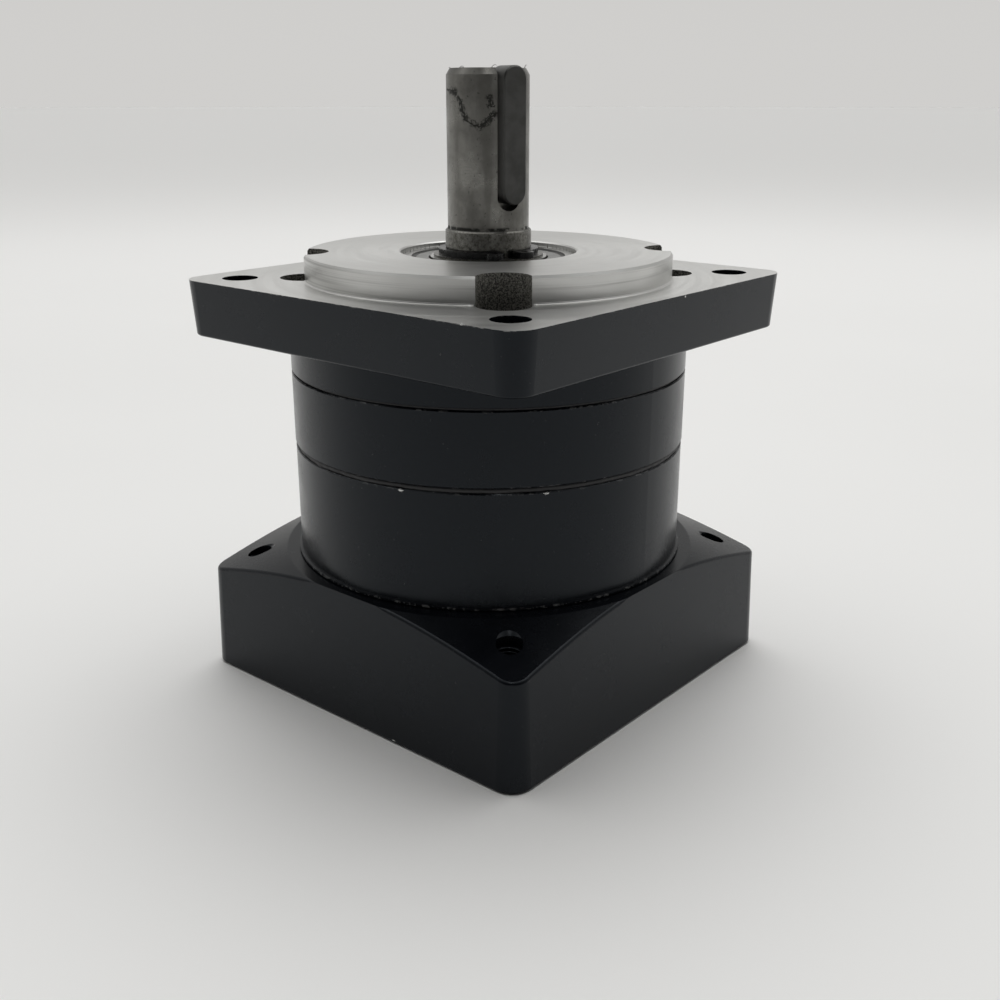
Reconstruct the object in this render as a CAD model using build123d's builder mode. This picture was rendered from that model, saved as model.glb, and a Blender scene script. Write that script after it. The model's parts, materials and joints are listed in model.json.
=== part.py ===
"""Single-stage planetary gearbox, 5:1, with an 86.5 mm square flange and a 16 mm keyed shaft.

Millimetres. +Z runs along the shaft, from the motor face at z = 0 to the shaft end at z = 121.7.
The sides of the flange and of the motor adapter lie along X and Y.
"""
import os
from math import acos, atan, cos, degrees, pi, radians, sin, sqrt, tan

from build123d import *

# ---- heights of the stack, from the motor face ----
MOTOR_FACE = 0.0
ADAPTER_TOP = 27.0
LOWER_JOINT = 50.2
UPPER_JOINT = 65.2
FLANGE_BACK = 71.7
FLANGE_FACE = 82.7
PILOT_FACE = 87.7
SHAFT_END = 121.7

# ---- outside ----
BODY_R = 40.0
INPUT_HOUSING_R = 39.9
FLANGE_SIDE = 86.5
FLANGE_BACK_SIDE = 85.0
FLANGE_CORNER_R = 5.0
ADAPTER_SIDE = 86.0
ADAPTER_TOP_SIDE = 84.6
ADAPTER_DRAFT_HEIGHT = 22.0
ADAPTER_CORNER_R = 4.5
ADAPTER_LAND_R = 43.0
ADAPTER_SLOPE = 0.35
PILOT_R = 36.5
HOLE_SPACING = 69.6
FLANGE_HOLE_R = 3.5
TAPPED_HOLE_R = 2.5
MOTOR_PILOT_R = 36.55
MOTOR_PILOT_DEPTH = 4.0
GROOVE_DEPTH = 0.75
UPPER_GROOVE_HALF = 0.3
LOWER_GROOVE_HALF = 0.5
GROOVE_BREAK = 0.2
SEALANT_SET_BACK = 0.35

# ---- inside of the casings ----
CARRIER_ROOM_R = 28.6
SEAL_BORE_R = 15.0
BEARING_LIP_R = 19.0
RETAINING_RING_BOTTOM = 26.25
RETAINING_RING_THICKNESS = 1.8
RETAINING_RING_R = 18.6
RETAINING_GROOVE_R = 22.2
SPIGOT_GAP = 0.05
ROOM_GAP = 0.5
PAST = 1.0

# ---- housing screws and their counterbores in the pilot's rim ----
SCREW_CIRCLE_R = 36.5
COUNTERBORE_R = 4.9
SCREW_SEAT = 74.7
SCREW_R = 2.5
SCREW_HEAD_R = 4.25
SCREW_HEAD_HEIGHT = 5.0
SCREW_SOCKET_R = 2.3
SCREW_TIP = 36.0
CLEARANCE_HOLE_R = 2.7

# ---- screws between the adapter and the input housing, and the plug of the clamp screw's hole ----
ADAPTER_SCREW_CIRCLE_R = 32.5
ADAPTER_SCREW_SEAT = 9.0
ADAPTER_SCREW_R = 2.0
ADAPTER_SCREW_HEAD_R = 3.5
ADAPTER_SCREW_HEAD_HEIGHT = 4.0
ADAPTER_SCREW_SOCKET_R = 1.73
ADAPTER_SCREW_TIP = 34.0
ADAPTER_SCREW_HOLE_END = 35.0
PLUG_R = 5.0
PLUG_LENGTH = 6.0
PLUG_SET_BACK = 0.9
PLUG_SOCKET_R = 2.9
PLUG_SOCKET_DEPTH = 3.5

# ---- dowels across the two joints, on the screws' circle ----
DOWEL_R = 1.5
DOWEL_LENGTH = 9.0
DOWEL_HOLE_DEPTH = 5.0
DOWEL_COUNT = 2

# ---- output shaft ----
SHAFT_R = 8.0
COLLAR_R = 8.5
COLLAR_TOP = 92.0
SHAFT_CHAMFER = 0.7
SHAFT_CHAMFER_HEIGHT = 1.2
CENTRE_HOLE_R = 2.1
CENTRE_HOLE_DEPTH = 14.0
COUNTERSINK_R = 3.3
KEY_ANGLE = -18.1
KEY_WIDTH = 5.0
KEY_HEIGHT = 5.0
KEY_LENGTH = 25.0
KEY_BOTTOM = 97.1
KEYWAY_FLOOR_R = 5.0
KEYWAY_BOTTOM = 95.8
CIRCLIP_BOTTOM = 87.1
CIRCLIP_THICKNESS = 1.2
CIRCLIP_GROOVE_TOP = 88.5
CIRCLIP_GROOVE_R = 8.1
CIRCLIP_R = 9.9
CIRCLIP_LUG_ANGLE = -24
SHIM_R = 10.9
SPACER_R = 11.0

# ---- gear set ----
MODULE = 0.8
SUN_TEETH = 18
PLANET_TEETH = 27
RING_TEETH = 72
PRESSURE_ANGLE = radians(20)
TOOTH_THINNING = 0.10
PLANET_COUNT = 3
CENTRE_DISTANCE = MODULE * (SUN_TEETH + PLANET_TEETH) / 2
PLANET_BOTTOM = 52.2
PLANET_TOP = 63.2
PLANET_BORE_R = 6.06
NEEDLE_R = 1.0
NEEDLE_COUNT = 15
PIN_R = 3.95

# ---- carrier ----
PLATE_R = 27.4
FRONT_PLATE_BOTTOM = 63.8
FRONT_PLATE_TOP = 70.2
BACK_PLATE_BOTTOM = 46.6
BACK_PLATE_TOP = 51.6
POST_R = 4.5
POST_CIRCLE_R = 21.5
CARRIER_BORE_R = 9.5
CARRIER_BORE_DEPTH = 3.5
SHOULDER_R = 16.2
PIN_SEAT_DEPTH = 5.0
PIN_END_GAP = 0.2
CARRIER_SCREW_R = 2.0
CARRIER_SCREW_HEAD_R = 3.5
CARRIER_SCREW_HEAD_HEIGHT = 2.8
CARRIER_SCREW_SOCKET_R = 1.73
CARRIER_SCREW_SEAT = 49.6
CARRIER_SCREW_REACH = 8.0
CARRIER_HEAD_HOLE_R = 3.7
CARRIER_SHANK_HOLE_R = 2.2
WASHER_R = 7.5
WASHER_THICKNESS = 0.5

# ---- bearings: bottom face, bore radius, outside radius, width, ball radius, ball count ----
FRONT_BEARING = (76.7, 8.5, 17.5, 10.0, 2.35, 10)
CARRIER_BEARING = (39.1, 15.0, 21.0, 7.0, 1.55, 20)
INPUT_BEARING = (28.1, 12.5, 21.0, 9.0, 2.35, 13)
FRONT_BEARING_TOP = FRONT_BEARING[0] + FRONT_BEARING[3]
INPUT_BEARING_TOP = INPUT_BEARING[0] + INPUT_BEARING[3]
RACE_GAP = 0.09
SHIELD_RECESS = 0.9
SHIELD_THICKNESS = 0.4
SHIELD_SET_BACK = 0.3
SHIELD_GAP = 0.35

# ---- input side ----
HUB_BOTTOM = 4.4
HUB_TOP = 38.6
HUB_BORE_R = 8.0
HUB_BORE_TOP = 33.0
HUB_SHOULDER_R = 14.2
HUB_SLOT_WIDTH = 1.5
HUB_CIRCLIP_THICKNESS = 1.2
HUB_GROOVE_R = 11.9
CLAMP_R = 11.5
CLAMP_TOP = 19.5
MOTOR_SHAFT_R = 7.0
BUSH_LENGTH = 25.0
BUSH_SLIT = 1.0
CAVITY_R = 25.0
SPIGOT_R = 28.0
SPIGOT_BOTTOM = 24.2
SUN_STEM_R = 7.0
SUN_STUB_R = 5.5
SUN_BOTTOM = 51.2
SUN_TOP = 63.6

# ---- clamp ring and its cross screw, along X ----
CLAMP_RING_R = 20.5
CLAMP_RING_BOTTOM = 6.0
CLAMP_RING_TOP = 17.0
CLAMP_SPLIT = 2.0
CLAMP_SCREW_OFFSET = 15.0
CLAMP_SCREW_HEIGHT = 11.5
CLAMP_SCREW_SEAT = -5.0
CLAMP_SCREW_R = 2.0
CLAMP_SCREW_LENGTH = 16.0
CLAMP_HEAD_R = 3.5
CLAMP_HEAD_HEIGHT = 4.0
CLAMP_HEAD_HOLE_R = 3.7
CLAMP_SOCKET_R = 1.73
CLAMP_SOCKET_DEPTH = 2.2

os.makedirs("parts", exist_ok=True)


def save(piece, name):
    """Label a finished piece and write it as its own STEP file."""
    piece.part.label = name
    export_step(piece.part, f"parts/{name}.step")


def section(points):
    """Closed outline of (radius, height) points, in the XZ plane."""
    with BuildSketch(Plane.XZ) as outline:
        with BuildLine():
            Polyline(*points, close=True)
        make_face()
    return outline.sketch


def ring_section(inner, outer, bottom, top):
    """Rectangular section of a plain ring."""
    return section([(inner, bottom), (outer, bottom), (outer, top), (inner, top)])


def polar(radius, angle):
    """Point at a radius and an angle in radians."""
    return (radius * cos(angle), radius * sin(angle))


def gear_face(teeth, tip_r, root_r, thickness):
    """Outline of a gear with involute flanks and one tooth centred on +X.

    thickness is the arc thickness of a tooth at the pitch circle. Each flank is one arc through
    three points of its involute, and it runs straight in to the root below the base circle.
    """
    pitch_r = MODULE * teeth / 2
    base_r = pitch_r * cos(PRESSURE_ANGLE)

    def half_angle(radius):
        angle = acos(min(1.0, base_r / radius))
        involute = tan(PRESSURE_ANGLE) - PRESSURE_ANGLE
        return thickness / (2 * pitch_r) + involute - (tan(angle) - angle)

    start_r = max(base_r, root_r)
    middle_r = (start_r + tip_r) / 2
    step = 2 * pi / teeth
    with BuildLine() as tooth:
        radii = (start_r, middle_r, tip_r)
        rising = [polar(radius, -half_angle(radius)) for radius in radii]
        falling = [polar(radius, half_angle(radius)) for radius in radii]
        root_out = polar(root_r, half_angle(start_r))
        root_in = polar(root_r, step - half_angle(start_r))
        ThreePointArc(*rising)
        ThreePointArc(rising[2], polar(tip_r, 0), falling[2])
        ThreePointArc(*reversed(falling))
        if root_r < base_r:
            Line(falling[0], root_out)
            Line(root_in, polar(start_r, step - half_angle(start_r)))
        ThreePointArc(root_out, polar(root_r, step / 2), root_in)
    edges = [edge.rotate(Axis.Z, degrees(step) * turn) for turn in range(teeth) for edge in tooth.edges()]
    return make_face(edges)


def tooth_thickness(thinning):
    """Arc thickness of a tooth at the pitch circle, less an allowance for backlash."""
    return pi * MODULE / 2 - thinning


def build_bearing(name, bottom, bore_r, outside_r, width, ball_r, count):
    """Deep-groove ball bearing: races, balls, cage and two shields, each in its own file."""
    middle = bottom + width / 2
    top = bottom + width
    pitch_r = (bore_r + outside_r) / 2
    inner_land = pitch_r - 0.6 * ball_r
    outer_land = pitch_r + 0.6 * ball_r
    shield_seat = outer_land + SHIELD_RECESS
    ball_track = Plane.XY.offset(middle)

    with BuildSketch(Plane.XZ) as track:
        with Locations((pitch_r, middle)):
            Circle(ball_r + RACE_GAP)

    with BuildPart() as outer_race:
        revolve(ring_section(outer_land, outside_r, bottom, top), axis=Axis.Z)
        chamfer(outer_race.edges().filter_by(GeomType.CIRCLE).group_by(SortBy.RADIUS)[-1], 0.4)
        for low, high in ((bottom, bottom + SHIELD_RECESS), (top - SHIELD_RECESS, top)):
            revolve(ring_section(outer_land - 1, shield_seat, low, high), axis=Axis.Z, mode=Mode.SUBTRACT)
        revolve(track.sketch, axis=Axis.Z, mode=Mode.SUBTRACT)
    save(outer_race, f"{name}_outer_race")

    with BuildPart() as inner_race:
        revolve(ring_section(bore_r, inner_land, bottom, top), axis=Axis.Z)
        chamfer(inner_race.edges().filter_by(GeomType.CIRCLE).group_by(SortBy.RADIUS)[0], 0.3)
        revolve(track.sketch, axis=Axis.Z, mode=Mode.SUBTRACT)
    save(inner_race, f"{name}_inner_race")

    with BuildPart() as balls:
        with Locations(ball_track):
            with PolarLocations(pitch_r, count):
                Sphere(ball_r)
    save(balls, f"{name}_balls")

    cage_half = 0.28 * ball_r
    cage_height = 1.3 * ball_r
    with BuildPart() as cage:
        cage_outline = ring_section(
            pitch_r - cage_half, pitch_r + cage_half, middle - cage_height, middle + cage_height
        )
        revolve(cage_outline, axis=Axis.Z)
        with Locations(ball_track):
            with PolarLocations(pitch_r, count):
                Cylinder(ball_r + RACE_GAP, 4 * cage_half, rotation=(0, 90, 0), mode=Mode.SUBTRACT)
    save(cage, f"{name}_cage")

    with BuildPart() as shields:
        for low in (bottom + SHIELD_SET_BACK, top - SHIELD_SET_BACK - SHIELD_THICKNESS):
            shield = ring_section(inner_land + SHIELD_GAP, shield_seat, low, low + SHIELD_THICKNESS)
            revolve(shield, axis=Axis.Z)
    save(shields, f"{name}_shields")


def socket_screws(places, seat, head_r, head_height, shank_r, tip, socket_r):
    """Socket-head screws at each of the places given.

    head_height is negative where the heads hang below the seat and the screws point up.
    """
    end = seat + head_height
    with BuildPart() as screws:
        with BuildSketch(Plane.XY.offset(seat)):
            with places:
                Circle(head_r)
        extrude(amount=head_height)
        chamfer(screws.edges().filter_by(lambda edge: abs(edge.center().Z - end) < 0.01), 0.3)
        with BuildSketch(Plane.XY.offset(seat)):
            with places:
                Circle(shank_r)
        extrude(amount=tip - seat)
        chamfer(screws.edges().filter_by(lambda edge: abs(edge.center().Z - tip) < 0.01), 0.4)
        with BuildSketch(Plane.XY.offset(end)):
            with places:
                RegularPolygon(socket_r, 6)
        extrude(amount=-0.55 * head_height, mode=Mode.SUBTRACT)
    return screws


def circlip(inner, outer, bottom, thickness, lug_angle, outward):
    """Retaining ring with two drilled lugs beside its gap, on the outside or the inside."""
    gap_half = 1.4
    lug_r = 1.8
    middle = (inner + outer) / 2
    lug_centre = outer + 0.35 if outward else inner - 0.35
    lug_turn = (gap_half + lug_r) / lug_centre
    lugs = [polar(lug_centre, lug_angle - lug_turn), polar(lug_centre, lug_angle + lug_turn)]
    with BuildPart() as clip:
        with BuildSketch(Plane.XY.offset(bottom)):
            Circle(outer)
            Circle(inner, mode=Mode.SUBTRACT)
            with Locations(*lugs):
                Circle(lug_r)
            with Locations(*lugs):
                Circle(0.7, mode=Mode.SUBTRACT)
            if outward:
                Circle(inner, mode=Mode.SUBTRACT)
            with Locations(Location((*polar(middle, lug_angle), 0), degrees(lug_angle))):
                Rectangle(12, 2 * gap_half, mode=Mode.SUBTRACT)
        extrude(amount=thickness)
    return clip


# ======================= casings =======================

flange_draft = degrees(atan((FLANGE_SIDE - FLANGE_BACK_SIDE) / 2 / (FLANGE_FACE - FLANGE_BACK)))
screw_places = PolarLocations(SCREW_CIRCLE_R, 4, start_angle=45)
dowel_places = PolarLocations(SCREW_CIRCLE_R, DOWEL_COUNT)
corner_places = GridLocations(HOLE_SPACING, HOLE_SPACING, 2, 2)
adapter_screw_places = PolarLocations(ADAPTER_SCREW_CIRCLE_R, 4, start_angle=45)
post_places = PolarLocations(POST_CIRCLE_R, PLANET_COUNT, start_angle=60)
planet_places = PolarLocations(CENTRE_DISTANCE, PLANET_COUNT)

with BuildPart() as front_housing:
    with BuildSketch(Plane.XY.offset(FLANGE_FACE)):
        RectangleRounded(FLANGE_SIDE, FLANGE_SIDE, FLANGE_CORNER_R)
    extrude(amount=FLANGE_BACK - FLANGE_FACE, taper=flange_draft)
    back_rim = front_housing.faces().sort_by(Axis.Z)[0].edges()
    fillet(back_rim, 0.5)
    neck = section([
        (0, UPPER_JOINT),
        (BODY_R - GROOVE_DEPTH, UPPER_JOINT),
        (BODY_R - GROOVE_DEPTH, UPPER_JOINT + UPPER_GROOVE_HALF),
        (BODY_R, UPPER_JOINT + UPPER_GROOVE_HALF),
        (BODY_R, FLANGE_BACK + PAST),
        (0, FLANGE_BACK + PAST),
    ])
    revolve(neck, axis=Axis.Z)
    pilot = section([
        (0, FLANGE_FACE - PAST),
        (PILOT_R, FLANGE_FACE - PAST),
        (PILOT_R, PILOT_FACE - 0.5),
        (PILOT_R - 0.35, PILOT_FACE),
        (0, PILOT_FACE),
    ])
    revolve(pilot, axis=Axis.Z)
    cavity = section([
        (0, UPPER_JOINT - PAST),
        (CARRIER_ROOM_R, UPPER_JOINT - PAST),
        (CARRIER_ROOM_R, FRONT_PLATE_TOP + ROOM_GAP),
        (SEAL_BORE_R, FRONT_PLATE_TOP + ROOM_GAP),
        (SEAL_BORE_R, FRONT_BEARING[0]),
        (FRONT_BEARING[2], FRONT_BEARING[0]),
        (FRONT_BEARING[2], PILOT_FACE - 0.25),
        (FRONT_BEARING[2] + 0.25, PILOT_FACE),
        (FRONT_BEARING[2] + 0.25, PILOT_FACE + PAST),
        (0, PILOT_FACE + PAST),
    ])
    revolve(cavity, axis=Axis.Z, mode=Mode.SUBTRACT)
    with BuildSketch(Plane.XY.offset(FLANGE_FACE)):
        with corner_places:
            Circle(FLANGE_HOLE_R)
    extrude(amount=FLANGE_BACK - FLANGE_FACE - PAST, mode=Mode.SUBTRACT)
    with BuildSketch(Plane.XY.offset(SCREW_SEAT)):
        with screw_places:
            Circle(COUNTERBORE_R)
    extrude(amount=PILOT_FACE - SCREW_SEAT + PAST, mode=Mode.SUBTRACT)
    with BuildSketch(Plane.XY.offset(UPPER_JOINT)):
        with screw_places:
            Circle(CLEARANCE_HOLE_R)
    extrude(amount=SCREW_SEAT - UPPER_JOINT + PAST, mode=Mode.SUBTRACT)
    with BuildSketch(Plane.XY.offset(UPPER_JOINT)):
        with dowel_places:
            Circle(DOWEL_R)
    extrude(amount=DOWEL_HOLE_DEPTH, mode=Mode.SUBTRACT)
save(front_housing, "front_housing")

ring_tip_r = MODULE * (RING_TEETH / 2 - 1)
ring_root_r = MODULE * (RING_TEETH / 2 + 1.25)
# The spaces between the ring's teeth have the shape of an external gear's teeth.
ring_spaces = gear_face(RING_TEETH, ring_root_r, ring_tip_r, tooth_thickness(-TOOTH_THINNING))
with BuildPart() as ring_gear:
    band = section([
        (ring_tip_r - PAST, LOWER_JOINT),
        (BODY_R - GROOVE_DEPTH, LOWER_JOINT),
        (BODY_R - GROOVE_DEPTH, LOWER_JOINT + LOWER_GROOVE_HALF),
        (BODY_R - GROOVE_BREAK, LOWER_JOINT + LOWER_GROOVE_HALF),
        (BODY_R, LOWER_JOINT + LOWER_GROOVE_HALF + GROOVE_BREAK),
        (BODY_R, UPPER_JOINT - UPPER_GROOVE_HALF - GROOVE_BREAK),
        (BODY_R - GROOVE_BREAK, UPPER_JOINT - UPPER_GROOVE_HALF),
        (BODY_R - GROOVE_DEPTH, UPPER_JOINT - UPPER_GROOVE_HALF),
        (BODY_R - GROOVE_DEPTH, UPPER_JOINT),
        (ring_tip_r - PAST, UPPER_JOINT),
    ])
    revolve(band, axis=Axis.Z)
    extrude(Pos(0, 0, LOWER_JOINT) * ring_spaces, amount=UPPER_JOINT - LOWER_JOINT, mode=Mode.SUBTRACT)
    with BuildSketch(Plane.XY.offset(LOWER_JOINT)):
        with screw_places:
            Circle(CLEARANCE_HOLE_R)
    extrude(amount=UPPER_JOINT - LOWER_JOINT, mode=Mode.SUBTRACT)
    for joint, depth in ((LOWER_JOINT, DOWEL_HOLE_DEPTH), (UPPER_JOINT, -DOWEL_HOLE_DEPTH)):
        with BuildSketch(Plane.XY.offset(joint)):
            with dowel_places:
                Circle(DOWEL_R)
        extrude(amount=depth, mode=Mode.SUBTRACT)
save(ring_gear, "ring_gear")

with BuildPart() as input_housing:
    shell = section([
        (BEARING_LIP_R - PAST, SPIGOT_BOTTOM),
        (SPIGOT_R, SPIGOT_BOTTOM),
        (SPIGOT_R, ADAPTER_TOP),
        (INPUT_HOUSING_R - 0.6, ADAPTER_TOP),
        (INPUT_HOUSING_R - 0.6, ADAPTER_TOP + 0.25),
        (INPUT_HOUSING_R + 0.5, ADAPTER_TOP + 0.25),
        (INPUT_HOUSING_R + 0.5, ADAPTER_TOP + 0.65),
        (INPUT_HOUSING_R, ADAPTER_TOP + 0.8),
        (INPUT_HOUSING_R, LOWER_JOINT - LOWER_GROOVE_HALF - GROOVE_BREAK),
        (INPUT_HOUSING_R - GROOVE_BREAK, LOWER_JOINT - LOWER_GROOVE_HALF),
        (BODY_R - GROOVE_DEPTH, LOWER_JOINT - LOWER_GROOVE_HALF),
        (BODY_R - GROOVE_DEPTH, LOWER_JOINT),
        (BEARING_LIP_R - PAST, LOWER_JOINT),
    ])
    revolve(shell, axis=Axis.Z)
    bore = section([
        (0, SPIGOT_BOTTOM - PAST),
        (INPUT_BEARING[2], SPIGOT_BOTTOM - PAST),
        (INPUT_BEARING[2], RETAINING_RING_BOTTOM),
        (RETAINING_GROOVE_R, RETAINING_RING_BOTTOM),
        (RETAINING_GROOVE_R, RETAINING_RING_BOTTOM + RETAINING_RING_THICKNESS),
        (INPUT_BEARING[2], RETAINING_RING_BOTTOM + RETAINING_RING_THICKNESS),
        (INPUT_BEARING[2], INPUT_BEARING_TOP),
        (BEARING_LIP_R, INPUT_BEARING_TOP),
        (BEARING_LIP_R, CARRIER_BEARING[0]),
        (CARRIER_BEARING[2], CARRIER_BEARING[0]),
        (CARRIER_BEARING[2], BACK_PLATE_BOTTOM - ROOM_GAP),
        (CARRIER_ROOM_R, BACK_PLATE_BOTTOM - ROOM_GAP),
        (CARRIER_ROOM_R, LOWER_JOINT + PAST),
        (0, LOWER_JOINT + PAST),
    ])
    revolve(bore, axis=Axis.Z, mode=Mode.SUBTRACT)
    with BuildSketch(Plane.XY.offset(LOWER_JOINT)):
        with screw_places:
            Circle(SCREW_R)
    extrude(amount=SCREW_TIP - PAST - LOWER_JOINT, mode=Mode.SUBTRACT)
    with BuildSketch(Plane.XY.offset(LOWER_JOINT)):
        with dowel_places:
            Circle(DOWEL_R)
    extrude(amount=-DOWEL_HOLE_DEPTH, mode=Mode.SUBTRACT)
    with BuildSketch(Plane.XY.offset(ADAPTER_TOP)):
        with adapter_screw_places:
            Circle(ADAPTER_SCREW_R)
    extrude(amount=ADAPTER_SCREW_HOLE_END - ADAPTER_TOP, mode=Mode.SUBTRACT)
save(input_housing, "input_housing")

corner_r = HOLE_SPACING / sqrt(2)
corner_top = ADAPTER_TOP - ADAPTER_SLOPE * (corner_r - ADAPTER_LAND_R)
adapter_draft = degrees(atan((ADAPTER_SIDE - ADAPTER_TOP_SIDE) / 2 / ADAPTER_DRAFT_HEIGHT))
with BuildPart() as motor_adapter:
    with BuildSketch(Plane.XY.offset(MOTOR_FACE)):
        RectangleRounded(ADAPTER_SIDE, ADAPTER_SIDE, ADAPTER_CORNER_R)
    extrude(amount=ADAPTER_TOP + PAST, taper=adapter_draft)
    turned_top = section([
        (0, ADAPTER_TOP),
        (ADAPTER_LAND_R, ADAPTER_TOP),
        (ADAPTER_SIDE, ADAPTER_TOP - ADAPTER_SLOPE * (ADAPTER_SIDE - ADAPTER_LAND_R)),
        (ADAPTER_SIDE, ADAPTER_TOP + 2 * PAST),
        (0, ADAPTER_TOP + 2 * PAST),
    ])
    revolve(turned_top, axis=Axis.Z, mode=Mode.SUBTRACT)
    upper_edges = motor_adapter.faces().filter_by(GeomType.CONE).edges()
    fillet(upper_edges.filter_by(lambda edge: edge.center().Z > ADAPTER_TOP / 2), 0.7)
    chamfer(motor_adapter.faces().sort_by(Axis.Z)[0].edges(), 0.4)
    cavity = section([
        (0, MOTOR_FACE - PAST),
        (MOTOR_PILOT_R, MOTOR_FACE - PAST),
        (MOTOR_PILOT_R, MOTOR_FACE + MOTOR_PILOT_DEPTH),
        (CAVITY_R, MOTOR_FACE + MOTOR_PILOT_DEPTH),
        (CAVITY_R, SPIGOT_BOTTOM - 0.1),
        (SPIGOT_R + SPIGOT_GAP, SPIGOT_BOTTOM - 0.1),
        (SPIGOT_R + SPIGOT_GAP, ADAPTER_TOP + PAST),
        (0, ADAPTER_TOP + PAST),
    ])
    revolve(cavity, axis=Axis.Z, mode=Mode.SUBTRACT)
    with BuildSketch(Plane.XY.offset(MOTOR_FACE)):
        with corner_places:
            Circle(TAPPED_HOLE_R)
    extrude(amount=ADAPTER_TOP, mode=Mode.SUBTRACT)
    with corner_places:
        with Locations((0, 0, corner_top + 0.6)):
            Cone(TAPPED_HOLE_R - 1.0, TAPPED_HOLE_R + 1.4, 2.4, mode=Mode.SUBTRACT)
    with BuildSketch(Plane.XY.offset(MOTOR_FACE)):
        with adapter_screw_places:
            Circle(ADAPTER_SCREW_HEAD_R + 0.3)
    extrude(amount=ADAPTER_SCREW_SEAT, mode=Mode.SUBTRACT)
    with BuildSketch(Plane.XY.offset(MOTOR_FACE)):
        with adapter_screw_places:
            Circle(ADAPTER_SCREW_R + 0.2)
    extrude(amount=ADAPTER_TOP + PAST, mode=Mode.SUBTRACT)
    # Way in for the clamp screw's key, from the back face.
    with BuildSketch(Plane.YZ):
        with Locations((CLAMP_SCREW_OFFSET, CLAMP_SCREW_HEIGHT)):
            Circle(PLUG_R)
    extrude(amount=-ADAPTER_SIDE, mode=Mode.SUBTRACT)
save(motor_adapter, "motor_adapter")

with BuildPart() as joint_sealant:
    for joint, half in ((UPPER_JOINT, UPPER_GROOVE_HALF), (LOWER_JOINT, LOWER_GROOVE_HALF)):
        seam = ring_section(BODY_R - GROOVE_DEPTH, BODY_R - SEALANT_SET_BACK, joint - half, joint + half)
        revolve(seam, axis=Axis.Z)
save(joint_sealant, "joint_sealant")

# ======================= fasteners of the casings =======================

front_screws = socket_screws(
    screw_places, SCREW_SEAT, SCREW_HEAD_R, SCREW_HEAD_HEIGHT, SCREW_R, SCREW_TIP, SCREW_SOCKET_R
)
save(front_screws, "front_screws")

adapter_screws = socket_screws(
    adapter_screw_places,
    ADAPTER_SCREW_SEAT,
    ADAPTER_SCREW_HEAD_R,
    -ADAPTER_SCREW_HEAD_HEIGHT,
    ADAPTER_SCREW_R,
    ADAPTER_SCREW_TIP,
    ADAPTER_SCREW_SOCKET_R,
)
save(adapter_screws, "adapter_screws")

with BuildPart() as dowel_pins:
    for joint in (LOWER_JOINT, UPPER_JOINT):
        with BuildSketch(Plane.XY.offset(joint - DOWEL_LENGTH / 2)):
            with dowel_places:
                Circle(DOWEL_R)
        extrude(amount=DOWEL_LENGTH)
    chamfer(dowel_pins.edges().filter_by(GeomType.CIRCLE), 0.3)
save(dowel_pins, "dowel_pins")

plug_face = ADAPTER_SIDE / 2 - PLUG_SET_BACK
with BuildPart() as access_plug:
    with BuildSketch(Plane.YZ.offset(-plug_face)):
        with Locations((CLAMP_SCREW_OFFSET, CLAMP_SCREW_HEIGHT)):
            Circle(PLUG_R)
    extrude(amount=PLUG_LENGTH)
    chamfer(access_plug.edges().filter_by(GeomType.CIRCLE), 0.5)
    with BuildSketch(Plane.YZ.offset(-plug_face)):
        with Locations((CLAMP_SCREW_OFFSET, CLAMP_SCREW_HEIGHT)):
            RegularPolygon(PLUG_SOCKET_R, 6)
    extrude(amount=PLUG_SOCKET_DEPTH, mode=Mode.SUBTRACT)
save(access_plug, "access_plug")

# ======================= output shaft and carrier =======================

key_turn = radians(KEY_ANGLE)
key_plane = Plane(
    origin=(0, 0, 0), x_dir=(-sin(key_turn), cos(key_turn), 0), z_dir=(cos(key_turn), sin(key_turn), 0)
)

with BuildPart() as output_shaft:
    profile = section([
        (0, FRONT_PLATE_BOTTOM + CARRIER_BORE_DEPTH),
        (COLLAR_R, FRONT_PLATE_BOTTOM + CARRIER_BORE_DEPTH),
        (COLLAR_R, CIRCLIP_BOTTOM),
        (CIRCLIP_GROOVE_R, CIRCLIP_BOTTOM),
        (CIRCLIP_GROOVE_R, CIRCLIP_GROOVE_TOP),
        (COLLAR_R, CIRCLIP_GROOVE_TOP),
        (COLLAR_R, COLLAR_TOP - 0.3),
        (COLLAR_R - 0.3, COLLAR_TOP),
        (SHAFT_R, COLLAR_TOP),
        (SHAFT_R, SHAFT_END - SHAFT_CHAMFER_HEIGHT),
        (SHAFT_R - SHAFT_CHAMFER, SHAFT_END),
        (0, SHAFT_END),
    ])
    revolve(profile, axis=Axis.Z)
    # Keyway, round at its lower end and open at the shaft's end.
    with BuildSketch(key_plane.offset(KEYWAY_FLOOR_R)):
        with Locations((0, KEYWAY_BOTTOM + KEY_WIDTH / 2)):
            Circle(KEY_WIDTH / 2)
        with Locations((0, (KEYWAY_BOTTOM + KEY_WIDTH / 2 + SHAFT_END + PAST) / 2)):
            Rectangle(KEY_WIDTH, SHAFT_END + PAST - KEYWAY_BOTTOM - KEY_WIDTH / 2)
    extrude(amount=SHAFT_R, mode=Mode.SUBTRACT)
    # Tapped centre hole in the shaft's end.
    centre_hole = section([
        (0, SHAFT_END - CENTRE_HOLE_DEPTH - CENTRE_HOLE_R / 2),
        (CENTRE_HOLE_R, SHAFT_END - CENTRE_HOLE_DEPTH),
        (CENTRE_HOLE_R, SHAFT_END - (COUNTERSINK_R - CENTRE_HOLE_R)),
        (COUNTERSINK_R, SHAFT_END),
        (COUNTERSINK_R, SHAFT_END + PAST),
        (0, SHAFT_END + PAST),
    ])
    revolve(centre_hole, axis=Axis.Z, mode=Mode.SUBTRACT)
save(output_shaft, "output_shaft")

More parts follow.
